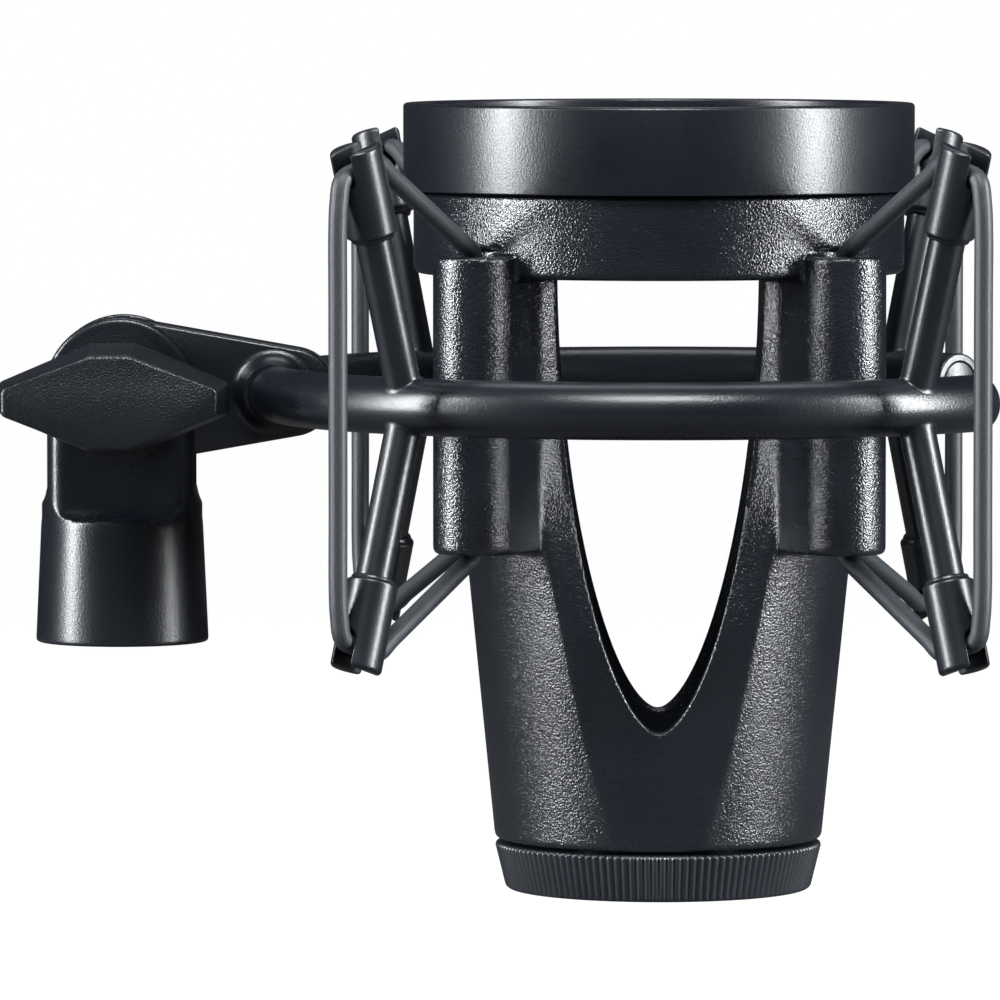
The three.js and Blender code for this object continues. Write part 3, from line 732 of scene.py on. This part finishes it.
def paddle_shape(front, shoulder):
    """The paddle narrows a little towards its front, which has a small round edge."""
    half_w, half_h = (knob_high[0] - knob_low[0]) / 2, 8.1
    draft_w, draft_h, draft_flat = 1.3, 1.35, 0.4
    edge, back_edge = 0.55, 0.8
    layers = []

    def layer(y, inset):
        t = (shoulder - y) / (shoulder - front)
        outline = paddle_outline(
            half_w - draft_w * t - inset, half_h - draft_h * t - inset,
            3.3 - draft_flat * t, 2.3 - draft_flat * t, 1.0 - 0.5 * min(1, inset),
        )
        layers.append([(x, y, PIVOT_Z + z) for x, z in outline])

    layer(shoulder, back_edge)
    for k in range(5):
        a = math.pi / 2 * k / 4
        layer(shoulder - back_edge * math.sin(a) - 0.001, back_edge * (1 - math.sin(a)) * (1 - k / 4))
    layer((front + shoulder) / 2, 0)
    for k in range(5):
        a = math.pi / 2 * k / 4
        layer(front + edge * (1 - math.sin(a)), edge * (1 - math.cos(a)))
    return stacked(layers)


def make_knob():
    front, shoulder, back = knob_low[1], -20.0, knob_high[1]
    bolt_hole_r = 4.4
    hub = along_y(lathe(fillet([
        (0, shoulder - 1, 0), (9.6, shoulder - 1, 0), (9.4, shoulder + 0.4, 0.4), (9, shoulder + 2, 0.8),
        (9, back, 0.5), (0, back, 0),
    ]), 128))
    obj = carve("knob_grip", paddle_shape(front, shoulder), [
        ("UNION", hub), ("DIFFERENCE", along_y(disc(bolt_hole_r, bolt_low[1] - GAP, 0, 64))),
    ])
    sharpen(obj, 28)
    return dress(obj, matte, TEXTURED_SLOT, "knob", "wing_knob")


make_knob()


# ---- arm and hoop --------------------------------------------------------------------------------
def hoop_point(angle):
    """A point on the hoop's centre line."""
    return np.array([CRADLE_X + HOOP_R * math.cos(angle), HOOP_R * math.sin(angle), PIVOT_Z])


def hoop_bar(radius, bore=None, rounding=0.35):
    """The open C of tube. With a bore it is a pipe whose two end faces are ring-shaped."""
    steps, sides = 180, 40
    first, last = HOOP_END_ANGLE, 2 * math.pi - HOOP_END_ANGLE
    angles = np.linspace(first, last, steps)
    turns = [2 * math.pi * k / sides for k in range(sides)]
    verts = []

    def ring(angle, r):
        centre = hoop_point(angle)
        out = np.array([math.cos(angle), math.sin(angle), 0])
        up = np.array([0, 0, 1])
        verts.extend(centre + out * (math.cos(t) * r) + up * (math.sin(t) * r) for t in turns)
        return list(range(len(verts) - sides, len(verts)))

    def end_rings(angle, inward):
        rings = []
        for k in range(5):
            a = math.pi / 2 * k / 4
            shift = inward * rounding * (1 - math.sin(a)) / HOOP_R
            rings.append(ring(angle + shift, radius - rounding * (1 - math.cos(a))))
        return rings

    start = list(reversed(end_rings(first, 1)))
    stop = end_rings(last, -1)
    rings = start + [ring(a, radius) for a in angles[3:-3]] + stop
    if bore is None:
        return np.array(verts), capped(rings)
    rings += [ring(a, bore) for a in np.linspace(last, first, steps // 2)]
    return np.array(verts), bridged(rings, closed=True)


def make_hoop():
    obj = make("hoop_tube", hoop_bar(TUBE_R, bore=TUBE_BORE_R), sharp_angle=50)
    dress(obj, satin, SATIN_SLOT, "hoop_frame", "hoop")
    plug_r = TUBE_BORE_R - 0.12
    plug_profile = [(0, -3.5, 0), (plug_r, -3.5, 0.2), (plug_r, -0.05, 0.35), (0, 0.25, 0)]
    for name in ("front", "rear"):
        side = SIGN[name]
        end = hoop_point(side * HOOP_END_ANGLE)
        along = Vector((math.sin(HOOP_END_ANGLE), -side * math.cos(HOOP_END_ANGLE), 0))
        turn = Vector((0, 0, 1)).rotation_difference(along).to_matrix().to_4x4()
        cap = lathe(fillet(plug_profile), 64)
        plug = make(f"tube_plug_{name}", moved(cap, Matrix.Translation(end) @ turn))
        dress(plug, semi_gloss, GLOSS_SLOT, "hoop_frame", f"hoop_plug_{name}")


ARM = {"pivot_r": 10.85, "tube_r": 6.5, "reach": 25.0, "half_y": 3.7, "chamfer": 0.45}


def arm_outline(inset):
    """The plate's (x, z) outline: a large and a small round end with straight sides."""
    big, small, reach = ARM["pivot_r"], ARM["tube_r"], ARM["reach"]
    tangent = math.acos((big - small) / reach)
    points = []
    for k in range(97):
        a = tangent + (2 * math.pi - 2 * tangent) * k / 96
        points.append(((big - inset) * math.cos(a), (big - inset) * math.sin(a)))
    for k in range(49):
        a = -tangent + 2 * tangent * k / 48
        points.append((reach + (small - inset) * math.cos(a), (small - inset) * math.sin(a)))
    return points


def arm_plate():
    half_y, chamfer = ARM["half_y"], ARM["chamfer"]
    edge = [(0, chamfer), (0.1, chamfer * 0.6), (0.25, chamfer * 0.22), (chamfer, 0)]
    sides = [(depth - half_y, inset) for depth, inset in edge]
    sides += [(half_y - depth, inset) for depth, inset in reversed(edge)]
    return stacked([[(x, y, PIVOT_Z + z) for x, z in arm_outline(inset)] for y, inset in sides])


def tube_cove():
    """The flare where the tube leaves the plate, along Z from the plate's middle."""
    root_r, lip_r, far, steps = 6.6, TUBE_R + 0.12, 8.2, 12
    root = ARM["half_y"] - 0.02
    profile = [(0, 0), (root_r, 0), (root_r, root)]
    for k in range(1, steps + 1):
        a = math.pi / 2 * k / steps
        profile.append((root_r - (root_r - lip_r) * math.sin(a), far - (far - root) * math.cos(a)))
    return lathe(profile + [(0, far)], 96)


def make_arm():
    steps = []
    for side in (1, -1):
        cove = moved(tube_cove(), Matrix.Rotation(side * math.pi / 2, 4, "X"))
        steps.append(("UNION", shifted(cove, x=CRADLE_X - HOOP_R, z=PIVOT_Z)))
    steps.append(("DIFFERENCE", along_y(disc(PIVOT_HOLE_R, -30, 30, 64))))
    steps.append(("DIFFERENCE", hoop_bar(TUBE_R + 0.06, rounding=0.01)))
    obj = carve("arm_plate", arm_plate(), steps)
    sharpen(obj, 30)
    return dress(obj, satin, SATIN_SLOT, "hoop_frame", "arm")


make_hoop()
make_arm()


# ---- posts, fork caps and elastic loops ----------------------------------------------------------
def station_matrix(depth, side, level):
    heading = math.atan2(SIGN[depth] * math.sin(STATION_ANGLE), SIGN[side] * math.cos(STATION_ANGLE))
    flip = Matrix.Rotation(math.pi if level == "lower" else 0, 4, "X")
    return Matrix.Translation(hoop_point(heading)) @ Matrix.Rotation(heading, 4, "Z") @ flip


def post_shape():
    """A post on the tube's crown: its foot is a saddle with a small weld fillet."""
    segments = 48
    foot = [(0.30, 0.0), (0.17, 0.07), (0.08, 0.19), (0.02, 0.34), (0.0, 0.55)]
    verts, rings = [], []
    for flare, lift in foot:
        ring = round_ring(verts, POST_R + flare, 0, segments)
        for i in ring:
            x, y = verts[i][:2]
            verts[i] = (x, y, math.sqrt(TUBE_R ** 2 - x ** 2) + lift - 0.05)
        rings.append(ring)
    top = CAP["start"] - 0.05
    pin_r, pin_end = POST_PIN["r"], top + POST_PIN["length"]
    for r, z in [(POST_R, 7.0), (POST_R, top), (pin_r, top), (pin_r, pin_end)]:
        rings.append(round_ring(verts, r, z, segments))
    return np.array(verts), capped(rings)


def cap_object():
    """One fork cap, in its station's frame before the lean."""
    r, start, tip, lip = CAP["r"], CAP["start"], CAP["tip"], CAP["lip"]
    outside = lathe(fillet([
        (0, start, 0), (lip, start, 0.15), (lip + 0.1, start + 0.6, 0.1), (r, start + 0.75, 0.55),
        (r, tip, 0.6), (0, tip, 0),
    ], steps=6), 96)
    half = CAP["slot"] / 2
    seat = tip - CAP["depth"] + half
    round_seat = shifted(moved(disc(half, -9, 9, 48), Matrix.Rotation(math.pi / 2, 4, "Y")), z=seat)
    obj = carve("fork_cap_shape", outside, [
        ("DIFFERENCE", cuboid(-9, 9, -half, half, seat, tip + 5)),
        ("DIFFERENCE", round_seat),
        ("DIFFERENCE", disc(POST_PIN["r"] + 0.02, start - 1, start + POST_PIN["length"] + 0.2, 48)),
    ])
    soften(obj, 0.16, 2, keep=0.5)
    return as_shape(obj)


def make_stations():
    post = post_shape()
    cap = cap_object()
    for depth, side in CORNERS:
        for level in ("upper", "lower"):
            place = station_matrix(depth, side, level) @ Matrix.Rotation(LEAN, 4, "Y")
            key = f"{level}_{depth}_{side}"
            stem = make(f"stem_{key}", moved(post, place), sharp_angle=40)
            dress(stem, semi_gloss, GLOSS_SLOT, "hoop_frame", f"post_{key}")
            fork = make(f"fork_{key}", moved(cap, place))
            dress(fork, semi_gloss, GLOSS_SLOT, "hoop_frame", f"fork_cap_{key}")


def loop_points():
    """The loop's route in one corner, from the middle of its guide up, over both fork caps and back.
    The corner sets the signs of x and y. The CAD's elastic solids follow the same route."""
    along = CAP["tip"] - CAP["depth"] + CORD_R + SEAT_LIFT
    seat = (HOOP_R + along * math.sin(LEAN), along * math.cos(LEAN))
    across = CAP["r"] + 0.1
    inner = (seat[0] - across * math.cos(LEAN), seat[1] + across * math.sin(LEAN))
    outer = (seat[0] + across * math.cos(LEAN), seat[1] - across * math.sin(LEAN) - 0.1)
    fork = [inner, (seat[0], seat[1] + 0.1), outer, (STRAND_R - 0.25, outer[1] - 3.2),
            (STRAND_R, outer[1] - 7), (STRAND_R, outer[1] - 18)]

    def on_fork(up):
        c, s = math.cos(STATION_ANGLE), math.sin(STATION_ANGLE)
        return [(r * c, r * s, PIVOT_Z + up * rise) for r, rise in fork]

    def in_guide(*heights):
        return [(GUIDE["x"], GUIDE["y"], z) for z in heights]

    def to_fork(up, *shares):
        """Points on the straight run from the guide's mouth to the fork."""
        start = np.array([GUIDE["x"], GUIDE["y"], high + 0.2 if up > 0 else low - 0.2])
        end = np.array(on_fork(up)[0])
        return [tuple(start + (end - start) * share) for share in shares]

    low, high = GUIDE["low"], GUIDE["high"]
    middle = (low + high) / 2
    return (in_guide(middle + 0.3, high - 8, high - 1.6) + to_fork(1, 0.04, 0.12, 0.85) + on_fork(1)
            + on_fork(-1)[::-1] + to_fork(-1, 0.85, 0.12, 0.04) + in_guide(low + 1.6, low + 8, middle - 0.3))


def smooth_path(points, steps):
    """A centripetal Catmull-Rom curve through the points, at even distances."""
    p = np.array(points, float)
    p = np.vstack([2 * p[0] - p[1], p, 2 * p[-1] - p[-2]])
    dense = []

    def between(a, b, t0, t1, s):
        return (t1 - s) / (t1 - t0) * a + (s - t0) / (t1 - t0) * b

    for i in range(1, len(p) - 2):
        q = p[i - 1:i + 3]
        t = np.concatenate([[0], np.cumsum(np.linalg.norm(np.diff(q, axis=0), axis=1) ** 0.5)])
        for s in np.linspace(t[1], t[2], 24, endpoint=False):
            a = [between(q[k], q[k + 1], t[k], t[k + 1], s) for k in range(3)]
            b = [between(a[k], a[k + 1], t[k], t[k + 2], s) for k in range(2)]
            dense.append(between(b[0], b[1], t[1], t[2], s))
    dense.append(p[-2])
    dense = np.array(dense)
    length = np.concatenate([[0], np.cumsum(np.linalg.norm(np.diff(dense, axis=0), axis=1))])
    even = np.linspace(0, length[-1], steps)
    return np.stack([np.interp(even, length, dense[:, k]) for k in range(3)], axis=1)


def wrap_uv(cord, sides, steps):
    """A UV map with u once round the cord and v along it."""
    layer = cord.data.uv_layers.new(name="along")
    for polygon in cord.data.polygons:
        around = [cord.data.loops[i].vertex_index % sides for i in polygon.loop_indices]
        wraps = max(around) - min(around) > sides / 2
        for i, a in zip(polygon.loop_indices, around):
            row = cord.data.loops[i].vertex_index // sides
            layer.data[i].uv = ((a + sides if wraps and a < sides / 2 else a) / sides, row / steps)


def make_loops():
    steps, sides = 260, 20
    turns = [2 * math.pi * k / sides for k in range(sides)]
    section = [(CORD_R * math.cos(t), CORD_R * math.sin(t)) for t in turns]
    for depth, side in CORNERS:
        sx, sy = SIGN[side], SIGN[depth]
        path = smooth_path([(CRADLE_X + sx * x, sy * y, z) for x, y, z in loop_points()], steps)
        sideways = np.array([-sy * math.sin(STATION_ANGLE), sx * math.cos(STATION_ANGLE), 0])
        cord = make(f"cord_{depth}_{side}", sweep(path, sideways, section))
        wrap_uv(cord, sides, steps)
        dress(cord, elastic, CORD_SLOT, None, f"elastic_loop_{depth}_{side}")
        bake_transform(cord)


make_stations()
make_loops()


# ---- cradle --------------------------------------------------------------------------------------
def cone_radius(z):
    return CONE["r0"] + CONE["slope"] * z


def window_half_width(z):
    t = (SKIRT["low"] - z) / WINDOW["height"]
    return WINDOW["half"] * max(0.0, 1 - t ** WINDOW["power"]) ** WINDOW["round"]


def window_shape():
    side, steps = [], 60
    for k in range(steps):
        z = SKIRT["low"] - WINDOW["height"] * math.sin(math.pi / 2 * k / steps)
        side.append((window_half_width(z), z))
    outline = side + [(0, SKIRT["low"] - WINDOW["height"])] + [(-x, z) for x, z in reversed(side)]
    return moved(slab(outline, -60, 60), Matrix.Rotation(math.pi / 2, 4, "X"))


def guide_shapes(sx, sy):
    """A round boss with a web that reaches inward to the cone and across to the flat face."""
    x, y, r, low, high = (GUIDE[k] for k in ("x", "y", "r", "low", "high"))
    boss = lathe(fillet([(0, low, 0), (r, low, 0.9), (r, high, 0.4), (0, high, 0)]), 96)
    inner, root_y, far_x = (WEB_X, FACET_Y + 0.2), 18, x + 1.5
    reach = math.hypot(x - inner[0], y - inner[1])
    touch_r = r - 0.02
    lean = math.atan2(y - inner[1], x - inner[0]) + math.asin(touch_r / reach)
    touch = (x - touch_r * math.sin(lean), y + touch_r * math.cos(lean))
    web = [(WEB_X, root_y), inner, touch, (x, y), (far_x, y - 1), (far_x, root_y)]
    return shifted(boss, sx * x, sy * y), slab([(sx * a, sy * b) for a, b in web], low, high)


def guide_hole(sx, sy):
    x, y, low, high, hole, mouth = (GUIDE[k] for k in ("x", "y", "low", "high", "hole", "mouth"))
    flare = 2.4
    profile = [(0, low - 1), (mouth + 0.6, low - 1), (mouth, low), (hole, low + flare),
               (hole, high - flare), (mouth, high), (mouth + 0.6, high + 1), (0, high + 1)]
    return shifted(lathe(profile, 48), sx * x, sy * y)


def turn_window_strips(obj):
    """The wall between each guide and the window turns in towards the window as it rises."""
    inner_y = FACET_Y - CONE["wall"]
    full_height, steepness, deepest = 36, 0.72, 2.1
    for vertex in obj.data.vertices:
        x, y, z = vertex.co.x / MM - CRADLE_X, abs(vertex.co.y) / MM, vertex.co.z / MM
        if not (inner_y < y < FACET_Y + 0.4 and abs(x) < WEB_X and 0 < z < SKIRT["low"]):
            continue
        t = min(1, z / full_height)
        slope = steepness * t * t * (3 - 2 * t)
        depth = min(slope * (WEB_X - abs(x)), deepest)
        y = inner_y + (y - inner_y) * (1 - depth / CONE["wall"])
        vertex.co.y = math.copysign(y * MM, vertex.co.y)


def make_cradle_body():
    low, high, wall = body_low[2], body_high[2], CONE["wall"]
    skirt_low, rim_seat = SKIRT["low"], rim_low[2] - GAP
    nut_hole_r, floor_z, inner_top = 17.6, low + 2.5, skirt_low + 2.6
    cone_r, cone_top = cone_radius(skirt_low + 0.5), skirt_low + 0.5
    flats = cuboid(-60, 60, -FACET_Y, FACET_Y, low - 1, cone_top)
    outside = lathe(fillet([
        (0, low, 0), (cone_radius(low), low, 0.8), (cone_r, cone_top, 0), (0, cone_top, 0),
    ]), 200)
    cone = as_shape(carve("cone", outside, [("INTERSECT", flats)]))
    skirt = lathe(fillet([
        (0, skirt_low, 0), (SKIRT["r"], skirt_low, 0.9), (SKIRT["r"], rim_seat, 0.3),
        (SKIRT["spigot"], rim_seat, 0), (SKIRT["spigot"], high, 0.3), (0, high, 0),
    ]), 200)
    inner_flats = cuboid(-60, 60, wall - FACET_Y, FACET_Y - wall, low, inner_top)
    inside = lathe([
        (0, floor_z), (cone_radius(low) - wall, floor_z), (cone_radius(skirt_low) - wall, inner_top),
        (0, inner_top),
    ], 200)
    hollow = as_shape(carve("hollow", inside, [("INTERSECT", inner_flats)]))
    corners = [(sx, sy) for sx in (1, -1) for sy in (1, -1)]
    steps = [("UNION", skirt)]
    for sx, sy in corners:
        steps += [("UNION", s) for s in guide_shapes(sx, sy)]
    steps += [
        ("DIFFERENCE", hollow), ("DIFFERENCE", disc(SKIRT["inner"], skirt_low + 2.5, 90, 200)),
        ("DIFFERENCE", disc(nut_hole_r, low - 2, low + 6, 120)), ("DIFFERENCE", window_shape()),
    ]
    steps += [("DIFFERENCE", guide_hole(sx, sy)) for sx, sy in corners]
    obj = carve("cradle_shell", cone, steps)
    obj.data.transform(Matrix.Translation((CRADLE_X * MM, 0, 0)))
    soften(obj, 0.38, 4)
    turn_window_strips(obj)
    return dress(obj, pebbled, TEXTURED_SLOT, "cradle", "cradle_body")


def make_rim_ring():
    low, high = rim_low[2], rim_high[2]
    outer, seat_r, mouth_r = (rim_high[0] - rim_low[0]) / 2, 35, 33.8
    lip_z = body_high[2] + GAP
    profile = fillet([
        (seat_r, low, 0.1), (outer, low, 0.2), (outer, high, 0.55),
        (mouth_r, high, 0.35), (mouth_r, lip_z, 0.1), (seat_r, lip_z, 0.1),
    ], closed=True, steps=6)
    obj = make("rim_band", shifted(lathe(profile, 256, closed=True), x=CRADLE_X), sharp_angle=40)
    return dress(obj, satin, SATIN_SLOT, "cradle", "rim_ring")


def make_ring_nut():
    """The knurled ring: its outside radius rises and falls in round ribs."""
    low, knurl_top, neck_top = nut_low[2], -29.4, nut_high[2]
    outer, bore, neck = (nut_high[0] - nut_low[0]) / 2, 14.6, 17.1
    groove_r, groove_low, groove_high = 16.1, -26, -24.5
    ribs, per_rib, rib_depth, lead = 132, 8, 0.34, 0.8
    segments = ribs * per_rib
    profile = fillet([
        (bore + 0.6, low, 0), (22.4, low, 0.9), (outer, knurl_top, 0.5), (outer - 1.4, knurl_top, 0),
    ], steps=8)
    profile += [
        (neck, knurl_top), (neck, groove_low), (groove_r, groove_low), (groove_r, groove_high),
        (neck, groove_high), (neck, neck_top), (bore, neck_top), (bore, low + 0.6),
    ]
    verts, rings = [], []
    for r, z in profile:
        knurled_here = r > 21.0 and low + 0.1 < z < knurl_top - 0.02
        deep = rib_depth * min(1, (z - low) / lead) if knurled_here else 0.0
        rings.append(list(range(len(verts), len(verts) + segments)))
        for k in range(segments):
            wave = abs(math.sin(math.pi * k / per_rib))
            a = 2 * math.pi * k / segments
            rr = r - deep * (1 - wave)
            verts.append((CRADLE_X + rr * math.cos(a), rr * math.sin(a), z))
    obj = make("knurled_nut", (np.array(verts), bridged(rings, closed=True)), sharp_angle=50)
    return dress(obj, knurled, TEXTURED_SLOT, "ring_nut", "ring_nut")


def make_retaining_clip():
    low, high = box_mm("retaining_clip")
    inner, outer, gap_half = 16.4, (high[1] - low[1]) / 2, 2.5
    profile = fillet([
        (inner, low[2], 0.1), (outer, low[2], 0.1), (outer, high[2], 0.1), (inner, high[2], 0.1),
    ], closed=True, steps=3)
    gap = cuboid(0, 40, -gap_half, gap_half, low[2] - 1, high[2] + 1)
    obj = carve("snap_ring", lathe(profile, 128, closed=True), [("DIFFERENCE", gap)])
    obj.data.transform(Matrix.Translation((CRADLE_X * MM, 0, 0)))
    sharpen(obj, 40)
    return dress(obj, steel, "zinc_steel", "ring_nut", "retaining_clip")


make_cradle_body()
make_rim_ring()
make_ring_nut()
make_retaining_clip()
